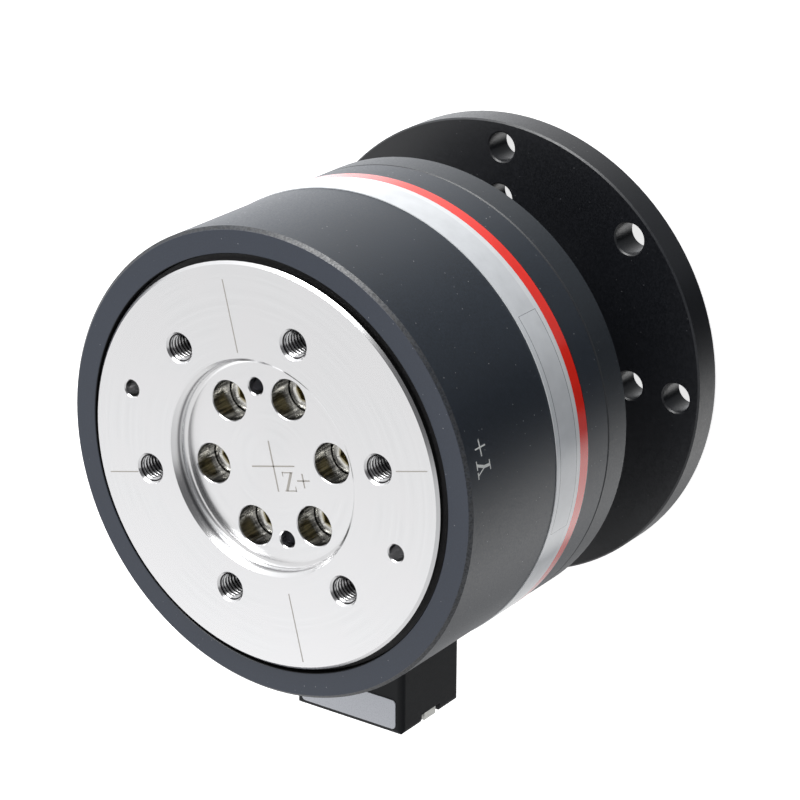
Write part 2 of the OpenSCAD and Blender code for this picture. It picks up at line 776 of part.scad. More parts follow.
module adapter_flange() {
    neck_r = neck_d / 2;
    rim_r = flange_d / 2;
    pilot_r = rear_pilot_d / 2;
    bore_top = z_base - neck_cap;
    color([0.1, 0.1, 0.11]) difference() {
        rotate_extrude() polygon(concat(
            [[0, bore_top], [0, z_base], [neck_r, z_base]],
            [for (i = [0 : 8]) let (a = 180 + i * 11.25)
                [neck_r + neck_fillet * (1 + cos(a)), flange_t + neck_fillet * (1 + sin(a))]],
            [[rim_r - flange_chamfer, flange_t], [rim_r, flange_t - flange_chamfer],
                [rim_r, flange_chamfer], [rim_r - flange_chamfer, 0], [pilot_r + 0.4, 0],
                [pilot_r, 0.4], [pilot_r, rear_pilot_depth], [neck_bore_d / 2, rear_pilot_depth],
                [neck_bore_d / 2, bore_top]]));
        ring_of(robot_n, robot_pcd, robot_a) flange_hole(robot_hole_d);
        ring_of(2, robot_pcd, robot_a + 180 / robot_n) flange_hole(locating_d);
        ring_of(robot_n, inner_pcd, inner_a) flange_hole(inner_hole_d);
        // Adapter screws, counterbored from the rear
        ring_of(adapter_n, adapter_pcd, adapter_a) {
            cylinder(d = bore_d(adapter_screw_d), h = z_base - adapter_grip);
            cylinder(d = through_d(adapter_screw_d), h = z_base + eps);
        }
        ring_of(2, adapter_pcd) translate([0, 0, z_base - adapter_dowel_len / 2])
            cylinder(d = adapter_dowel_d, h = adapter_dowel_len);
    }
}

// Hole through the flange, chamfered at both faces
module flange_hole(d) {
    translate([0, 0, flange_t]) mouth_hole(d, flange_t + eps, hole_chamfer);
    mirror([0, 0, 1]) mouth_hole(d, eps, hole_chamfer);
}

module adapter_screws() {
    color([0.3, 0.3, 0.32]) ring_of(adapter_n, adapter_pcd, adapter_a)
        translate([0, 0, z_base - adapter_grip]) rotate([180, 0, 0])
            cap_screw(adapter_screw_d, adapter_screw_len);
}

module adapter_dowels() {
    color([0.6, 0.61, 0.63]) ring_of(2, adapter_pcd)
        translate([0, 0, z_base - adapter_dowel_len / 2])
            chamfered_disc(adapter_dowel_d, adapter_dowel_len, 0.3, 0.3);
}

module connector_box() {
    mouth_w = shell_w + 2 * shell_gap;
    mouth_h = shell_h + 2 * shell_gap;
    overlap = 3;
    side = ear_slot_w / 2;
    lip = [for (i = [0 : 4]) let (a = i * 22.5 - 90)
        [box_reach - ear_slot_r + ear_slot_r * cos(a), side + ear_slot_r + ear_slot_r * sin(a)]];
    color([0.12, 0.12, 0.13]) in_box_frame() difference() {
        translate([box_in - overlap, 0, 0])
            round_block(box_reach - box_in + overlap, box_w, box_h, box_r);
        translate([box_in - overlap - eps, -box_w, -box_h])
            cube([overlap + eps, 2 * box_w, 2 * box_h]);
        translate([box_in - eps, -chamber_w / 2, -chamber_h / 2])
            cube([shell_back - box_in + 2 * eps, chamber_w, chamber_h]);
        translate([shell_back, -mouth_w / 2, -mouth_h / 2])
            cube([box_reach - shell_back + eps, mouth_w, mouth_h]);
        rotate([90, 0, 0]) linear_extrude(2 * box_w, center = true) polygon(concat(
            [[ear_floor, -side], [ear_floor, side]], lip, [[box_reach + 1, side + ear_slot_r],
                [box_reach + 1, -side - ear_slot_r]],
            [for (i = [4 : -1 : 0]) [lip[i][0], -lip[i][1]]]));
        for (s = [-1, 1]) translate([0, s * ear_screw_y, 0])
            bar_x(ear_screw_d + 2 * thread_gap, ear_floor - ear_screw_len, ear_floor + eps);
        box_screw_places() {
            bar_x(bore_d(box_screw_d), box_seat, box_reach + eps);
            bar_x(through_d(box_screw_d), box_in - eps, box_seat + eps);
        }
    }
}

module box_gasket() {
    color([0.06, 0.06, 0.06]) in_box_frame() difference() {
        translate([seat_r, 0, 0]) rotate([90, 0, 90]) linear_extrude(gasket_t)
            round_rect(box_w, box_h, box_r);
        translate([seat_r - eps, -chamber_w / 2, -chamber_h / 2])
            cube([gasket_t + 2 * eps, chamber_w, chamber_h]);
        box_screw_places() bar_x(through_d(box_screw_d), seat_r - eps, box_in + eps);
    }
}

module box_screws() {
    color([0.7, 0.7, 0.72]) in_box_frame() box_screw_places()
        translate([box_seat, 0, 0]) rotate([0, 90, 0]) cap_screw(box_screw_d, box_screw_len);
}

module box_sticker() {
    color([0.93, 0.94, 0.95]) in_box_frame()
        translate([box_reach - box_r - sticker_h / 2, 0, box_h / 2]) rotate(90)
            linear_extrude(sticker_t) round_rect(sticker_w, sticker_h, 0.8);
}

module connector_shell() {
    color([0.78, 0.78, 0.76]) in_box_frame() difference() {
        union() {
            translate([ear_floor, -ear_len / 2, -ear_w / 2]) cube([ear_t, ear_len, ear_w]);
            translate([shell_back, 0, 0]) rotate([90, 0, 90])
                linear_extrude(shell_depth + ear_t) d_outline(shell_w, shell_h);
        }
        translate([shell_back - eps, 0, 0]) rotate([90, 0, 90])
            linear_extrude(shell_depth + ear_t + 2 * eps)
                d_outline(shell_w - 2 * shell_t, shell_h - 2 * shell_t);
        for (s = [-1, 1]) translate([ear_floor + ear_t, s * ear_screw_y, 0])
            rotate([0, 90, 0]) translate([0, 0, -ear_t - eps]) {
                cylinder(d = ear_screw_d + 2 * thread_gap, h = ear_t);
                translate([0, 0, ear_t - 0.55 * ear_screw_d])
                    cylinder(d1 = ear_screw_d + 2 * thread_gap, d2 = ear_head_d + 2 * thread_gap,
                        h = 0.55 * ear_screw_d + 2 * eps);
            }
    }
}

module connector_insert() {
    color([0.1, 0.1, 0.1]) in_box_frame() difference() {
        translate([shell_back, 0, 0]) rotate([90, 0, 90]) linear_extrude(insert_t)
            d_outline(shell_w - 2 * shell_t, shell_h - 2 * shell_t);
        contact_places() bar_x(contact_d, 0.6, insert_t + eps);
    }
}

// Contact places: five above, four below, at the shell's back
module contact_places() {
    for (row = [0, 1], i = [0 : 4 - row])
        translate([shell_back, (i - 2 + row / 2) * contact_pitch, (0.5 - row) * contact_pitch])
            children();
}

module connector_contacts() {
    color([0.85, 0.7, 0.3]) in_box_frame() contact_places()
        bar_x(contact_d, 0.6, insert_t + contact_up);
}

module connector_screws() {
    color([0.7, 0.7, 0.72]) in_box_frame() for (s = [-1, 1])
        translate([ear_floor + ear_t, s * ear_screw_y, 0]) rotate([0, 90, 0])
            flat_screw(ear_screw_d, ear_screw_len, ear_head_d);
}

tool_plate();
hub_screws();
hub_dowels();
dust_seal();
housing_sleeve();
printed_band();
sensing_element();
strain_gauges();
overload_pins();
bridge_board();
bridge_header();
bridge_ribbon();
base_plate();
rim_screws();
sleeve_screws();
base_seal();
signal_board();
board_chips();
board_capacitors();
crystal_can();
bridge_socket();
cable_socket();
board_standoffs();
board_screws();
cable_ribbon();
adapter_flange();
adapter_screws();
adapter_dowels();
connector_box();
box_gasket();
box_screws();
box_sticker();
connector_shell();
connector_insert();
connector_contacts();
connector_screws();
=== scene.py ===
"""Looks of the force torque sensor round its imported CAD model."""
import json
import math
from functools import reduce

import bmesh
import bpy
from mathutils import Matrix, Vector


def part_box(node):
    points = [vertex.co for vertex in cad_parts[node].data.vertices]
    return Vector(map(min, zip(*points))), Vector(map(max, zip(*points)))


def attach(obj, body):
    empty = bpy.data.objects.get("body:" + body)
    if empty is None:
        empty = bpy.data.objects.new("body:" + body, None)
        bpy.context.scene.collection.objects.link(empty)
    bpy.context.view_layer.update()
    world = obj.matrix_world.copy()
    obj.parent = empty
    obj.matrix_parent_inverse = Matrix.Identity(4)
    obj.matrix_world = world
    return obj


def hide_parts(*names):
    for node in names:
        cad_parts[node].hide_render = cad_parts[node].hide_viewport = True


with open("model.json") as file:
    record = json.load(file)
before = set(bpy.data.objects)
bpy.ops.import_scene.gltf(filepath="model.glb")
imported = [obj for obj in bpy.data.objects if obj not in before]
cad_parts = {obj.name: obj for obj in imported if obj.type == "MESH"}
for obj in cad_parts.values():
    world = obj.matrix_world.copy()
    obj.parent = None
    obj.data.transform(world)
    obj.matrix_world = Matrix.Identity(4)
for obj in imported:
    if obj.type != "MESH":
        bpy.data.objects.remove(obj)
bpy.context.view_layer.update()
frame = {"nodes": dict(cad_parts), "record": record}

MM = 0.001
TAU = 2 * math.pi


# ---------------------------------------------------------------- sizes, in mm
def low(node):
    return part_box(node)[0] / MM


def high(node):
    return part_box(node)[1] / MM


Z_TOOL = high("tool_plate").z  # face of the tool plate
R_PLATE = high("tool_plate").x
Z_FLOOR, R_RECESS = Z_TOOL - 3.0, 19.0  # floor and wall of the pilot recess
Z_SLEEVE = high("housing_sleeve").z  # front face of the sleeve
Z_PART = low("housing_sleeve").z  # parting line between the sleeve and the base
R_BODY = high("housing_sleeve").y
R_FLANGE, Z_FLANGE = high("adapter_flange").x, 6.2  # rim and front face of the flange
FRONT_CHAMFER, PART_CHAMFER, FLANGE_CHAMFER = 0.6, 0.25, 0.3
TOOL_R, TOOL_N, TOOL_A = 25.0, 6, math.radians(30)  # ring of tapped holes
THREAD = dict(major=2.5, minor=2.07, cone=2.85,  # radii; the cone's is at its mouth
              pitch=0.8, depth=8.4)
HUB_R, COUNTERBORE_R = 13.0, 3.6  # ring of counterbores, as many and at the same angles
HEAD_R, HEAD_H, SHANK_R, SOCKET_R = 3.5, 4.0, 2.0, 2.1  # cap screws in the counterbores
HEAD_RISE = 0.5  # how much taller their heads are than the solids'
HEAD_TOP = high("hub_screws").z + HEAD_RISE
BAND_LOW, BAND_HIGH = low("printed_band").z, high("printed_band").z
BOX_A, BOX_HALF = math.radians(-13.5), 11.9  # direction and half width of the connector box
MERGE = 1e-7  # in metres; points of a piece that are nearer become one
SHARP = math.radians(32)  # edges that turn by more stay sharp


# ------------------------------------------------------------- shader building
class Nodes:
    """Short ways to add nodes to a tree."""

    def __init__(self, tree):
        self.tree = tree

    def node(self, kind, **settings):
        made = self.tree.nodes.new(kind)
        for key, value in settings.items():
            setattr(made, key, value)
        return made

    def put(self, socket, value):
        """Links the socket to another one, or sets its value."""
        if isinstance(value, bpy.types.NodeSocket):
            self.tree.links.new(value, socket)
        else:
            socket.default_value = value

    def math(self, operation, a, b=0.0):
        made = self.node("ShaderNodeMath", operation=operation)
        self.put(made.inputs[0], a)
        self.put(made.inputs[1], b)
        return made.outputs[0]

    def both(self, a, b):
        """The product of two values, such as two masks."""
        return self.math("MULTIPLY", a, b)

    def vector(self, operation, a, b, output="Vector"):
        made = self.node("ShaderNodeVectorMath", operation=operation)
        self.put(made.inputs[0], a)
        self.put(made.inputs[1], b)
        return made.outputs[output]

    def step(self, value, start, end, low_out=0.0, high_out=1.0):
        """Smooth step: low_out up to start, high_out from end on; start may be the larger."""
        made = self.node("ShaderNodeMapRange", interpolation_type="SMOOTHSTEP")
        for key, given in (("Value", value), ("From Min", start), ("From Max", end),
                           ("To Min", low_out), ("To Max", high_out)):
            self.put(made.inputs[key], given)
        return made.outputs["Result"]

    def mix(self, share, a, b):
        """Colour a where share is 0, b where it is 1."""
        made = self.node("ShaderNodeMix", data_type="RGBA")
        self.put(made.inputs[0], share)
        self.put(made.inputs[6], a)
        self.put(made.inputs[7], b)
        return made.outputs[2]


class Graph(Nodes):
    """A Principled material, with the place on the part in mm as x, y, z and radius."""

    def __init__(self, name, **constants):
        self.material = bpy.data.materials.new(name)
        self.material.use_nodes = True
        super().__init__(self.material.node_tree)
        self.shader = self.tree.nodes["Principled BSDF"]
        for key, value in constants.items():
            self.shader.inputs[key.replace("_", " ")].default_value = value
        place = self.node("ShaderNodeTexCoord").outputs["Object"]
        self.mm = self.vector("MULTIPLY", place, (1 / MM, 1 / MM, 1 / MM))
        xyz = self.node("ShaderNodeSeparateXYZ")
        self.put(xyz.inputs[0], self.mm)
        self.x, self.y, self.z = xyz.outputs
        self.radius = self.length(self.x, self.y)

    def length(self, a, b):
        """Length of the diagonal of two sides."""
        return self.math("SQRT", self.math("ADD", self.both(a, a), self.both(b, b)))

    def noise(self, scale, detail=3.0, rough=0.5, stretch=None, along=None):
        """Noise over the place in mm, stretched per axis, or over one value alone."""
        if along is None:
            made = self.node("ShaderNodeTexNoise")
            place = self.vector("MULTIPLY", self.mm, stretch) if stretch else self.mm
            self.put(made.inputs["Vector"], place)
        else:
            made = self.node("ShaderNodeTexNoise", noise_dimensions="1D")
            self.put(made.inputs["W"], along)
        for key, value in (("Scale", scale), ("Detail", detail), ("Roughness", rough)):
            made.inputs[key].default_value = value
        return made.outputs[0]

    def from_ring(self, count, ring, angle):
        """Distance in mm to the nearest axis of a ring of holes."""
        share = TAU / count
        turn = self.math("SUBTRACT", self.math("ARCTAN2", self.y, self.x), angle - share / 2)
        fold = self.math("SUBTRACT", self.math("FLOORED_MODULO", turn, share), share / 2)
        along = self.math("SUBTRACT", self.both(self.radius, self.math("COSINE", fold)), ring)
        across = self.both(self.radius, self.math("SINE", fold))
        return self.length(along, across)

    def specks(self, scale, size):
        """Sparse round specks, 1 inside and 0 outside."""
        made = self.node("ShaderNodeTexVoronoi")
        self.put(made.inputs["Vector"], self.mm)
        made.inputs["Scale"].default_value = scale
        pick = self.node("ShaderNodeSeparateColor")
        self.put(pick.inputs[0], made.outputs["Color"])
        inside = self.step(made.outputs["Distance"], size * scale, size * scale * 0.4)
        return self.both(inside, self.step(pick.outputs[0], 0.55, 0.95))

    def colour(self, value):
        self.put(self.shader.inputs["Base Color"], value)

    def rough(self, value):
        self.put(self.shader.inputs["Roughness"], value)

    def bump(self, height, strength, distance):
        """Bumps of a height from 0 to 1, with the distance in mm."""
        made = self.node("ShaderNodeBump")
        made.inputs["Strength"].default_value = strength
        made.inputs["Distance"].default_value = distance * MM
        self.put(made.inputs["Height"], height)
        self.put(self.shader.inputs["Normal"], made.outputs[0])


def tone(rgb, factor=1.0):
    """A colour for a socket, with its brightness times factor."""
    return (*[c * factor for c in rgb], 1.0)


def anodised(name, rgb, rough, specks=0.0, edges=(), gloss=0.75):
    """Bead-blasted, anodised metal: cloudy tone, fine pits, a few bright specks.

    edges lists (inner radius, lowest z, highest z) of chamfers whose finish shows wear and which
    also get a painted highlight.
    """
    g = Graph(name, Specular_IOR_Level=gloss)
    cloud = g.step(g.noise(0.07), 0.3, 0.7)
    grains = g.noise(3.0, 4.0, 0.6)
    base = g.mix(cloud, tone(rgb, 0.9), tone(rgb, 1.1))
    base = g.mix(g.step(grains, 0.35, 0.7), base, tone(rgb, 1.6))
    if specks:
        base = g.mix(g.both(g.specks(0.9, 0.12), specks), base, tone((0.5, 0.5, 0.52)))
    soft = 0.03  # half the width over which a zone of wear and painted highlight fades
    # Chamfers: wear, plus a greyer tone painted on as a highlight, lighter than the flange's
    # black, broken up by noise
    for inner, bottom, top in edges:
        height = g.both(g.step(g.z, bottom - soft, bottom + soft),
                        g.step(g.z, top + soft, top - soft))
        wear_and_highlight = g.both(height, g.step(g.radius, inner - soft, inner + soft))
        broken = g.step(g.noise(1.6, 4.0, 0.7), 0.38, 0.55, 0.35, 1.0)
        base = g.mix(g.both(wear_and_highlight, broken), base, tone((0.016, 0.018, 0.022)))
    g.colour(base)
    g.rough(g.step(grains, 0.3, 0.7, rough - 0.05, rough + 0.05))
    g.bump(grains, 0.5, 0.02)
    return g


def wear_and_highlight_zone(radius, z, size, side):
    """A chamfer's place in edges; side is 1 where it lies in front of z, -1 behind."""
    reach = size + 0.02
    return radius - reach, min(z, z + side * reach), max(z, z + side * reach)


def sleeve_anodised(name):
    """The sleeve: wear and a painted highlight on the front and rear chamfers, a front face
    painted lighter as lit, and a mouth painted black as shade.
    """
    g = anodised(name, (0.013, 0.0185, 0.027), 0.42, specks=0.9,
                 edges=(wear_and_highlight_zone(R_BODY, Z_SLEEVE, FRONT_CHAMFER, -1),
                        wear_and_highlight_zone(R_BODY, Z_PART, PART_CHAMFER, 1)))
    base = g.shader.inputs["Base Color"].links[0].from_socket
    # Painted light: the front face gets a lighter, bluer tone than the sides, as the face the
    # light falls on
    face = g.step(g.z, Z_SLEEVE - 0.08, Z_SLEEVE - 0.04)
    base = g.mix(g.both(face, 0.5), base, tone((0.031, 0.039, 0.062)))
    # Painted shade: the mouth next to the tool plate is painted near black
    mouth = g.step(g.radius, R_PLATE + 1.15, R_PLATE + 1.05)
    g.colour(g.mix(mouth, base, tone((0.002, 0.002, 0.0022))))
    # Gloss: less on the face, broken on the front chamfer, hardly any in the mouth
    gloss = g.step(face, 0.0, 1.0, 0.75, 0.55)
    inner, bottom = R_BODY - FRONT_CHAMFER, Z_SLEEVE - FRONT_CHAMFER
    edge = g.both(g.step(g.radius, inner - 0.05, inner), g.step(g.z, bottom - 0.05, bottom))
    gloss = g.step(edge, 0.0, 1.0, gloss, g.step(g.noise(2.5), 0.35, 0.6, 0.6, 1.0))
    gloss = g.both(gloss, g.step(mouth, 0.0, 1.0, 1.0, 0.15))
    g.put(g.shader.inputs["Specular IOR Level"], gloss)
    return g


def metal(name, rgb, rough, scale=3.0, stretch=None):
    """Bare metal with fine marks; stretch makes them run along one direction."""
    g = Graph(name, Metallic=1.0)
    marks = g.noise(scale, 4.0, 0.6, stretch)
    g.colour(g.mix(marks, tone(rgb, 0.85), tone(rgb, 1.1)))
    g.rough(g.step(marks, 0.3, 0.7, rough - 0.06, rough + 0.08))
    g.bump(marks, 0.4, 0.01)
    return g


def moulded(name, rgb, rough, scale=4.0, depth=0.01, **constants):
    """Moulded plastic, ceramic or film with a light grain."""
    g = Graph(name, **constants)
    grain = g.noise(scale)
    g.colour(g.mix(grain, tone(rgb, 0.88), tone(rgb, 1.1)))
    g.rough(g.step(grain, 0.3, 0.7, rough - 0.05, rough + 0.06))
    g.bump(grain, 0.4, depth)
    return g


def turned_aluminium(name):
    """Face finished by fine turning: rings that follow the radius, painted shade and highlight
    lines on the recess wall, and painted shade in the holes.
    """
    g = Graph(name, Metallic=1.0, Anisotropic=0.2)
    tangent = g.node("ShaderNodeTangent", direction_type="RADIAL", axis="Z")
    g.put(g.shader.inputs["Tangent"], tangent.outputs[0])
    feed = g.noise(9.0, 2.0, along=g.radius)
    rings = g.noise(0.9, along=g.radius)
    cloud = g.noise(0.12)
    base = g.mix(g.step(rings, 0.3, 0.7), tone((0.825, 0.825, 0.83)), tone((0.85, 0.85, 0.855)))
    base = g.mix(g.step(cloud, 0.35, 0.65), base, tone((0.845, 0.84, 0.845)))
    # Painted shade and highlight lines on the wall of the recess: a darker tone with lighter
    # rings where the turning marks run
    side = g.both(g.step(g.radius, R_RECESS - 0.1, R_RECESS - 0.05),
                  g.step(g.radius, R_RECESS + 0.1, R_RECESS + 0.05))
    side = g.both(side, g.step(g.z, Z_FLOOR + 0.02, Z_FLOOR + 0.06))
    turning_marks_shade_and_glints = g.step(g.noise(1.3, 3.0, 0.6, along=g.z), 0.38, 0.6)
    base = g.mix(side, base, g.mix(turning_marks_shade_and_glints, tone((0.3, 0.3, 0.305)), tone((0.9, 0.9, 0.9))))
    # Painted shade: the bottoms of the holes outside the recess are painted darker
    shaded_hole_bottoms = g.both(g.step(g.radius, R_RECESS + 1.5, R_RECESS + 2.0),
                   g.step(g.z, Z_TOOL - 4.8, Z_TOOL - 5.5))
    base = g.mix(shaded_hole_bottoms, base, tone((0.36, 0.36, 0.365)))
    # Drilling streaks down the walls of the counterbores, on a tone darker than the face:
    # painted shade
    near = g.step(g.from_ring(TOOL_N, HUB_R, TOOL_A), COUNTERBORE_R + 0.25, COUNTERBORE_R + 0.1)
    wall = g.both(near, g.step(g.z, Z_FLOOR - 0.1, Z_FLOOR - 0.2))
    streaks = g.noise(1.0, 4.0, 0.65, (2.2, 2.2, 0.12))
    drilled_and_shaded = g.mix(g.step(streaks, 0.4, 0.62), tone((0.17, 0.17, 0.165)),
                    tone((0.62, 0.615, 0.6)))
    g.colour(g.mix(wall, base, drilled_and_shaded))
    g.rough(g.step(feed, 0.3, 0.7, 0.19, 0.23))
    g.bump(g.math("ADD", g.both(feed, 0.04), g.both(streaks, wall)), 0.4, 0.004)
    return g


MAKERS = {
    "turned_aluminium": turned_aluminium,
    "screw_plated": lambda name: metal(name, (0.93, 0.89, 0.77), 0.33),
    "dark_steel": lambda name: metal(name, (0.05, 0.05, 0.056), 0.4),
    "pin_steel": lambda name: metal(name, (0.6, 0.61, 0.63), 0.25, 2.0, (1, 1, 8)),
    "seal_rubber": lambda name: moulded(name, (0.012, 0.012, 0.013), 0.6, 6.0, 0.02),
    "sleeve_anodised": sleeve_anodised,
    # The base's and the flange's chamfers get wear and a painted highlight
    "base_anodised": lambda name: anodised(
        name, (0.014, 0.0185, 0.024), 0.42, 0.4,
        (wear_and_highlight_zone(R_BODY, Z_PART, PART_CHAMFER, -1),)),
    "flange_anodised": lambda name: anodised(
        name, (0.0045, 0.0052, 0.0072), 0.38, 0.25,
        (wear_and_highlight_zone(R_FLANGE, Z_FLANGE, FLANGE_CHAMFER, -1),)),
    "box_black": lambda name: anodised(name, (0.007, 0.0078, 0.0092), 0.62, gloss=0.25),
    "band_foil": lambda name: moulded(name, (0.6, 0.62, 0.65), 0.12, 0.5, 0.004,
                                      Coat_Weight=0.6, Coat_Roughness=0.05),
    "element_alloy": lambda name: metal(name, (0.72, 0.73, 0.75), 0.35),
    "gauge_foil": lambda name: moulded(name, (0.6, 0.32, 0.1), 0.35),
    "board_green": lambda name: moulded(name, (0.015, 0.12, 0.05), 0.35),
    "chip_black": lambda name: moulded(name, (0.02, 0.02, 0.022), 0.5),
    "capacitor_tan": lambda name: moulded(name, (0.4, 0.28, 0.15), 0.45),
    "can_metal": lambda name: metal(name, (0.7, 0.7, 0.68), 0.3),
    "header_nylon": lambda name: moulded(name, (0.8, 0.77, 0.66), 0.45),
    "ribbon_film": lambda name: moulded(name, (0.6, 0.35, 0.1), 0.25),
    "standoff_brass": lambda name: metal(name, (0.72, 0.55, 0.25), 0.3),
    # The white sticker is painted greyer and bluer for the shade it lies in
    "sticker_white": lambda name: moulded(name, (0.62, 0.64, 0.69), 0.3, 5.0, 0.003,
                                          Coat_Weight=0.3, Coat_Roughness=0.1),
    "shell_nickel": lambda name: metal(name, (0.42, 0.42, 0.4), 0.32),
    "insert_black": lambda name: moulded(name, (0.02, 0.02, 0.02), 0.4),
    "contact_gold": lambda name: metal(name, (0.85, 0.62, 0.25), 0.22),
}
LOOKS = {slot: make(slot).material for slot, make in MAKERS.items()}
for subpart in frame["record"]["subparts"]:
    mesh = frame["nodes"][subpart["node"]].data
    mesh.materials.clear()
    mesh.materials.append(LOOKS[subpart["material_slot"]])


# -------------------------------------------------------------------- pieces
def piece(name, vertices, faces, materials, indices=None, smooth=True):
    """A mesh piece in mm, on the part's only body; indices gives each face's material."""
    mesh = bpy.data.meshes.new(name)
    mesh.from_pydata([Vector(v) * MM for v in vertices], [], faces)
    for material in materials:
        mesh.materials.append(material)
    if indices:
        mesh.polygons.foreach_set("material_index", indices)
    bm = bmesh.new()
    bm.from_mesh(mesh)
    bmesh.ops.remove_doubles(bm, verts=bm.verts, dist=MERGE)
    bmesh.ops.recalc_face_normals(bm, faces=bm.faces)
    bm.to_mesh(mesh)
    bm.free()
    if smooth:
        mesh.polygons.foreach_set("use_smooth", [True] * len(mesh.polygons))
        mesh.set_sharp_from_angle(angle=SHARP)
    made = bpy.data.objects.new(name, mesh)
    bpy.context.scene.collection.objects.link(made)
    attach(made, "root")
    return made


COLUMNS = 48  # points in one row of a round piece


def ring_row(cx, cy, z, radius):
    """One row of points round an axis; radius gives each column's radius."""
    points = []
    for j in range(COLUMNS):
        r, a = radius(j), TAU * j / COLUMNS
        points.append((cx + r * math.cos(a), cy + r * math.sin(a), z))
    return points


def between_rows(count):
    """Quads between rows that close on themselves."""
    faces = []
    for i in range(count - 1):
        for j in range(COLUMNS):
            k = (j + 1) % COLUMNS
            faces.append((i * COLUMNS + j, i * COLUMNS + k,
                          (i + 1) * COLUMNS + k, (i + 1) * COLUMNS + j))
    return faces


def on_ring(radius):
    """Centres of the tool plate's holes on one ring."""
    turns = [TOOL_A + TAU * i / TOOL_N for i in range(TOOL_N)]
    return [(radius * math.cos(a), radius * math.sin(a)) for a in turns]


def thread_lining(cx, cy):
    """Lining of one tapped hole: a helical ridge inside a thin closed tube."""
    major, minor, pitch = THREAD["major"] - 0.06, THREAD["minor"], THREAD["pitch"]
    corners = ((0.0625, major), (0.375, minor), (0.625, minor), (0.9375, major))
    top, bottom = Z_TOOL - 0.36, Z_TOOL - THREAD["depth"]  # from the foot of the cone down

    def ridge(z, turn):
        """Inner radius at a height and a share of a turn."""
        phase = (z / pitch + turn) % 1.0
        points = ((corners[-1][0] - 1, major), *corners, (corners[0][0] + 1, major))
        for (p0, r0), (p1, r1) in zip(points, points[1:]):
            if p0 <= phase <= p1:
                return r0 + (r1 - r0) * (phase - p0) / (p1 - p0)
        return major

    levels = int((top - bottom) / (pitch / 16))  # 16 rows for each turn of the thread
    vertices = []
    for i in range(levels + 1):
        z = top + (bottom - top) * i / levels
        mouth = THREAD["cone"] - (Z_TOOL - z) - 0.02
        vertices += ring_row(cx, cy, z, lambda j: max(ridge(z, j / COLUMNS), mouth))
    for z in (bottom, top):
        vertices += ring_row(cx, cy, z, lambda j: THREAD["major"] - 0.005)
    rows = levels + 3
    last = (rows - 1) * COLUMNS
    faces = between_rows(rows)
    faces += [(last + j, last + (j + 1) % COLUMNS, (j + 1) % COLUMNS, j) for j in range(COLUMNS)]
    return vertices, faces


def joined(parts):
    """Puts the vertices and faces of several parts into one list."""
    vertices, faces = [], []
    for some_vertices, some_faces in parts:
        start = len(vertices)
        vertices += some_vertices
        faces += [tuple(start + i for i in face) for face in some_faces]
    return vertices, faces


def thread_metal():
    """Bright crests, and painted shade: dark roots, and darker deeper down."""
    g = Graph("thread_metal", Metallic=1.0)
    away = g.from_ring(TOOL_N, TOOL_R, TOOL_A)
    # Painted shade: the roots of the thread are near black
    root = g.step(away, THREAD["minor"] + 0.04, THREAD["major"] - 0.12)
    marks = g.noise(2.5, 4.0, 0.6)
    crest = g.mix(marks, tone((0.55, 0.55, 0.56)), tone((0.95, 0.95, 0.95)))
    depth_shade = g.step(g.z, Z_TOOL - 4.5, Z_TOOL - 0.8, 0.35, 1.0)
    base = g.mix(root, crest, tone((0.02, 0.02, 0.021)))
    g.colour(g.mix(depth_shade, tone((0.03, 0.03, 0.03)), base))
    g.rough(g.step(marks, 0.3, 0.7, 0.12, 0.2))
    g.bump(marks, 0.2, 0.003)
    return g.material


threads = joined(thread_lining(x, y) for x, y in on_ring(TOOL_R))
piece("tool_threads", *threads, [thread_metal()])


# Cap screws in the counterbores, taller than the solids' so that their heads catch light
def cap_screw(cx, cy, turn):
    """Lathed head and shank; turn counts the columns that the socket's corners move by."""
    side = COLUMNS // 6  # columns in one side of the socket

    def hexagon(j):
        """Radius of the socket's wall in one column."""
        a = TAU * ((j + turn) % side) / COLUMNS - TAU / 12
        return SOCKET_R * math.cos(TAU / 12) / math.cos(a)

    seat, bottom = HEAD_TOP - HEAD_RISE - HEAD_H, low("hub_screws").z
    profile = ((bottom, SHANK_R - 0.4), (bottom + 0.4, SHANK_R), (seat, SHANK_R), (seat, HEAD_R),
               (HEAD_TOP - 0.32, HEAD_R), (HEAD_TOP - 0.1, HEAD_R - 0.08),
               (HEAD_TOP, HEAD_R - 0.32), (HEAD_TOP, SOCKET_R + 0.5), (HEAD_TOP - 0.35, None),
               (HEAD_TOP - 2.2, None), (HEAD_TOP - 2.7, 0.3))  # None follows the hexagon
    vertices = []
    for z, radius in profile:
        vertices += ring_row(cx, cy, z, lambda j: radius or hexagon(j))
    last = (len(profile) - 1) * COLUMNS
    faces = between_rows(len(profile))
    faces += [tuple(range(COLUMNS)), tuple(range(last + COLUMNS - 1, last - 1, -1))]
    return vertices, faces


def screw_metal():
    """Bright plating, and a socket painted a darker yellowish tone as shade."""
    g = Graph("hub_screw_metal", Metallic=1.0)
    away = g.from_ring(TOOL_N, HUB_R, TOOL_A)
    marks = g.noise(3.0, 4.0, 0.6)
    # Painted shade inside the socket
    socket = g.both(g.step(away, SOCKET_R + 0.2, SOCKET_R + 0.05),
                    g.step(g.z, HEAD_TOP - 0.1, HEAD_TOP - 0.35))
    plating = g.mix(marks, tone((0.86, 0.84, 0.78)), tone((0.98, 0.97, 0.93)))
    inside = g.mix(marks, tone((0.22, 0.19, 0.1)), tone((0.5, 0.44, 0.26)))
    g.colour(g.mix(socket, plating, inside))
    g.rough(g.step(marks, 0.3, 0.7, 0.2, 0.32))
    g.bump(marks, 0.4, 0.008)
    return g.material


# The sockets' corners point a different way in each screw
screws = joined(cap_screw(x, y, 3 * i) for i, (x, y) in enumerate(on_ring(HUB_R)))
hub_screws = piece("hub_cap_screws", *screws, [screw_metal()])
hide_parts("hub_screws")


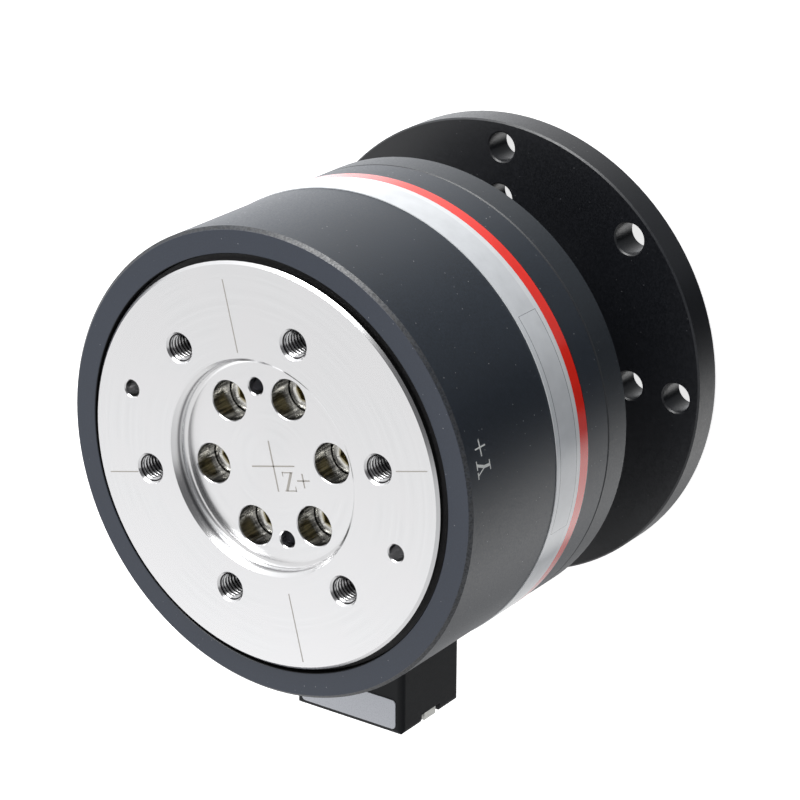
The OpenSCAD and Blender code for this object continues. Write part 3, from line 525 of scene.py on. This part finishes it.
# Printed band: a foil round the sleeve with a gap at the connector box. A bare frame lies on
# it. Each row gives its height above the band's rear edge, and its field beside the frame,
# inside it, and on its two ends.
BAND_ROWS = (
    (0.0, "edge", "edge", "edge"),
    (0.12, "red", "red", "red"),
    (2.62, "line", "line", "line"),
    (2.74, "white", "white", "white"),
    (3.75, "white", "frame", "frame"),
    (3.87, "silver", "silver", "frame"),
    (8.85, "silver", "frame", "frame"),
    (8.97, "silver", "silver", "silver"),
)
BAND_COLOURS = {"edge": (0.03, 0.005, 0.005), "red": (1.0, 0.03, 0.015),
                "line": (0.75, 0.7, 0.7), "white": (0.84, 0.85, 0.86),
                "frame": (0.22, 0.23, 0.25), "silver": (0.74, 0.76, 0.78)}
BAND_OUTER, BAND_INNER = R_BODY + 0.15, R_BODY - 0.05
BAND_STEPS = 320
BAND_MARGIN = math.radians(6)  # from the side of the connector box to the band's end
FRAME_ENDS = (math.radians(60.3), math.radians(114.7))
FRAME_LINE = math.radians(0.12)  # width of the ends' lines


def band():
    names = list(BAND_COLOURS)
    materials = [moulded("band_" + n, BAND_COLOURS[n], 0.14, 0.35, 0.003, Coat_Weight=0.5,
                         Coat_Roughness=0.04).material for n in names]
    gap = math.asin(BOX_HALF / R_BODY) + BAND_MARGIN
    start, end = BOX_A + gap, BOX_A + TAU - gap
    angles = sorted([start + (end - start) * i / BAND_STEPS for i in range(BAND_STEPS + 1)]
                    + [a + s * FRAME_LINE for a in FRAME_ENDS for s in (-0.5, 0.5)])
    heights = [row[0] for row in BAND_ROWS] + [BAND_HIGH - BAND_LOW]
    vertices = [(r * math.cos(a), r * math.sin(a), BAND_LOW + h)
                for r in (BAND_OUTER, BAND_INNER) for a in angles for h in heights]
    columns = len(heights)
    inner = len(angles) * columns  # first vertex of the inner side
    faces, indices = [], []

    def add(face, field):
        faces.append(face)
        indices.append(names.index(field))

    for i, (a, b) in enumerate(zip(angles, angles[1:])):
        middle = (a + b) / 2
        in_frame = FRAME_ENDS[0] - FRAME_LINE / 2 < middle < FRAME_ENDS[1] + FRAME_LINE / 2
        on_end = any(abs(middle - e) < FRAME_LINE / 2 for e in FRAME_ENDS)
        for j, row in enumerate(BAND_ROWS):
            for p in (i * columns + j, inner + i * columns + j):
                add((p, p + 1, p + columns + 1, p + columns), row[1 + in_frame + on_end])
        for j, field in ((0, "edge"), (columns - 1, "silver")):
            p = i * columns + j
            add((p, p + columns, inner + p + columns, inner + p), field)
    for i in (0, len(angles) - 1):
        for j in range(columns - 1):
            p = i * columns + j
            add((p, p + 1, inner + p + 1, inner + p), "silver")
    made = piece("band_print", vertices, faces, materials, indices)
    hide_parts("printed_band")


band()


# Marks: engraved lines and axis letters, as plates a hair thick
PLATE_DEPTH, PLATE_SPLIT = 0.02, 4  # mm above and below the surface; parts along a stroke


def bar(p, q, width):
    """Corners of a stroke from p to q."""
    (x0, y0), (x1, y1) = p, q
    length = math.hypot(x1 - x0, y1 - y0)
    nx, ny = -(y1 - y0) / length * width / 2, (x1 - x0) / length * width / 2
    return ((x0 + nx, y0 + ny), (x1 + nx, y1 + ny), (x1 - nx, y1 - ny), (x0 - nx, y0 - ny))


def plates(quads, place):
    """Thin closed plates; place puts a point of the plane and a height into space."""
    parts = []
    for quad in quads:
        vertices = []
        for k in range(PLATE_SPLIT + 1):
            t = k / PLATE_SPLIT
            for a, b in ((quad[0], quad[1]), (quad[3], quad[2])):
                u, v = a[0] + (b[0] - a[0]) * t, a[1] + (b[1] - a[1]) * t
                vertices += [place(u, v, PLATE_DEPTH), place(u, v, -PLATE_DEPTH)]
        faces = []
        for k in range(PLATE_SPLIT):
            p = 4 * k
            faces += [(p, p + 2, p + 6, p + 4), (p + 1, p + 5, p + 7, p + 3),
                      (p, p + 4, p + 5, p + 1), (p + 2, p + 3, p + 7, p + 6)]
        p = 4 * PLATE_SPLIT
        faces += [(0, 1, 3, 2), (p, p + 2, p + 3, p + 1)]
        parts.append((vertices, faces))
    return joined(parts)


def engraving():
    """Reference lines on the face; a cross, the letter Z and a plus on the recess's floor."""
    g = moulded("engraved", (0.4, 0.38, 0.35), 0.5, 5.0, 0.01, Metallic=0.4)
    line, arm = 0.2, 0.26  # widths of the reference lines and of the cross and plus
    lines = [((-33.4, 0.2), (-20.6, 0.25)), ((22.5, 0.42), (35.0, 0.47)),
             ((0.6, -34.5), (0.58, -28.0)), ((0.27, 28.7), (0.24, 35.1))]
    top = plates([bar(p, q, line) for p, q in lines], lambda x, y, h: (x, y, Z_TOOL + h))
    cross = [((0.49, -4.42), (0.49, 4.86)), ((-4.08, 0.3), (5.04, 0.3))]
    plus = [((3.1, 4.85), (3.1, 7.57)), ((1.8, 6.19), (4.4, 6.19))]

    def letter(u, v):
        """A letter's own frame, 0 to 1 each way: right is +Y and up is -X."""
        return 5.05 - v * 3.6, 1.87 + u * 2.45

    z_strokes = [((0.0, 0.95), (0.95, 0.95), 0.2), ((0.03, 1.0), (0.03, 0.76), 0.16),
                 ((0.82, 0.95), (0.16, 0.05), 0.5), ((0.0, 0.04), (1.0, 0.04), 0.2),
                 ((0.97, 0.0), (0.97, 0.26), 0.16)]
    marks = [bar(p, q, arm) for p, q in cross]
    marks += [bar(letter(*p), letter(*q), width) for p, q, width in z_strokes]
    marks += [bar(p, q, arm) for p, q in plus]
    recess = plates(marks, lambda x, y, h: (x, y, Z_FLOOR + h))
    piece("engraved_marks", *joined([top, recess]), [g.material], smooth=False)


def laser_mark():
    """The letter Y and a plus on the sleeve, in degrees round the axis and mm of height."""
    g = moulded("laser_mark", (0.9, 0.91, 0.88), 0.45, 6.0, 0.01)
    degree = R_BODY * TAU / 360  # mm per degree round the sleeve

    def place(a, z, h):
        turn = math.radians(a)
        r = R_BODY + h
        return r * math.cos(turn), r * math.sin(turn), z

    def stroke(p, q, width):
        quad = bar((p[0] * degree, p[1]), (q[0] * degree, q[1]), width)
        return tuple((u / degree, v) for u, v in quad)

    strokes = [((86.9, 70.47), (89.2, 70.47), 0.2), ((88.05, 70.5), (88.2, 72.2), 0.5),
               ((88.2, 72.1), (89.2, 74.0), 0.5), ((88.1, 74.05), (90.2, 74.05), 0.2),
               ((88.0, 72.2), (86.85, 74.0), 0.2), ((86.0, 74.05), (87.6, 74.05), 0.2),
               ((90.7, 72.3), (94.55, 72.3), 0.28), ((92.76, 70.8), (92.76, 73.7), 0.26)]
    piece("laser_marks", *plates([stroke(*s) for s in strokes], place), [g.material],
          smooth=False)


engraving()
laser_mark()


# --------------------------------------------------------------------- stage
# The photograph's camera, fitted to the part's circles and holes
LENS, SENSOR = 134.9, 36
CAMERA_AT = Vector((-125.12, 325.23, 448.9)) * MM
VIEW = Vector((0.23287, -0.60264, -0.76328)).normalized()
UP = Vector((-0.95433, 0.00942, -0.2986)).normalized()
RIGHT = VIEW.cross(UP).normalized()
UP = RIGHT.cross(VIEW)
FLOOR_HALF, FLOOR_Z = 6.0, -0.0004  # in metres; the floor lies a hair under the flange
LIT_CENTRE = Vector((0, 0, 0.045))  # where the light points, in metres


def from_camera(way):
    """Unit direction from its parts to the photograph's right, up and towards the camera."""
    return (RIGHT * way[0] + UP * way[1] - VIEW * way[2]).normalized()


def make_camera():
    camera = bpy.data.cameras.new("camera")
    camera.lens, camera.sensor_width = LENS, SENSOR
    camera.clip_start, camera.clip_end = 0.01, 20
    made = bpy.data.objects.new("camera", camera)
    bpy.context.scene.collection.objects.link(made)
    turn = Matrix((RIGHT, UP, -VIEW)).transposed().to_4x4()
    made.matrix_world = Matrix.Translation(CAMERA_AT) @ turn
    bpy.context.scene.camera = made


def make_floor():
    """Pale floor that the camera sees, and that lights and mirrors in nothing."""
    mesh = bpy.data.meshes.new("floor")
    corners = [(x * FLOOR_HALF, y * FLOOR_HALF, FLOOR_Z)
               for x, y in ((-1, -1), (1, -1), (1, 1), (-1, 1))]
    mesh.from_pydata(corners, [], [(0, 1, 2, 3)])
    mesh.materials.append(Graph("floor", Base_Color=(0.9, 0.9, 0.9, 1), Roughness=1.0,
                                Specular_IOR_Level=0.0, Emission_Color=(1, 1, 1, 1),
                                Emission_Strength=0.75).material)
    floor = bpy.data.objects.new("floor", mesh)
    bpy.context.scene.collection.objects.link(floor)
    floor.visible_glossy = False
    floor.visible_diffuse = False


# Studio round the part, painted from the first row on: a colour, and the directions
# (right, up, towards the camera) along which it fades in from one cosine to another
STUDIO = (
    ((0.83, 0.83, 0.835), ()),
    ((1.15, 1.16, 1.18), (((0, 1, 0), 0.2, 0.9),)),
    ((1.60, 1.63, 1.68), (((-0.1, 0.35, -0.93), 0.86, 0.97),)),
    ((0.22, 0.23, 0.245), (((1, 0, 0), 0.0, 0.75),)),
    ((1.50, 1.50, 1.50), (((0.73, -0.35, -0.6), 0.93, 0.985),)),
    ((1.50, 1.51, 1.53), (((-0.74, -0.66, -0.2), 0.925, 0.975),)),
    ((0.12, 0.12, 0.125), (((0, 0, 1), 0.80, 0.95),)),
    ((0.02, 0.021, 0.024), (((0, 1, 0), -0.06, 0.0), ((0, 1, 0), 0.34, 0.28),
                            ((1, 0, 0), 0.5, 0.8))),
)


def make_world():
    """The studio, which the camera itself sees as plain white."""
    world = bpy.data.worlds.new("studio")
    bpy.context.scene.world = world
    world.use_nodes = True
    g = Nodes(world.node_tree)
    coords = g.node("ShaderNodeTexCoord").outputs["Generated"]

    def fade(way, start, end):
        return g.step(g.vector("DOT_PRODUCT", coords, from_camera(way), "Value"), start, end)

    (first, _), *others = STUDIO
    colour = tone(first)
    for rgb, fades in others:
        share = reduce(g.both, [fade(*limits) for limits in fades])
        colour = g.mix(share, colour, tone(rgb))
    seen = g.node("ShaderNodeLightPath").outputs["Is Camera Ray"]
    g.put(g.tree.nodes["Background"].inputs["Color"], g.mix(seen, colour, (1, 1, 1, 1)))


def make_light(name, way, distance, size, power):
    """Square light in a direction from the part, in metres and watts."""
    light = bpy.data.lights.new(name, "AREA")
    light.shape, light.size, light.energy = "SQUARE", size, power
    made = bpy.data.objects.new(name, light)
    bpy.context.scene.collection.objects.link(made)
    out = from_camera(way)
    turn = (-out).to_track_quat("-Z", "Y").to_matrix().to_4x4()
    made.matrix_world = Matrix.Translation(LIT_CENTRE + out * distance) @ turn
    made.visible_camera = False


make_camera()
make_floor()
make_world()
make_light("key", (-0.4, 0.65, 0.6), 0.9, 0.5, 6.0)
bpy.context.scene.view_settings.view_transform = "Standard"
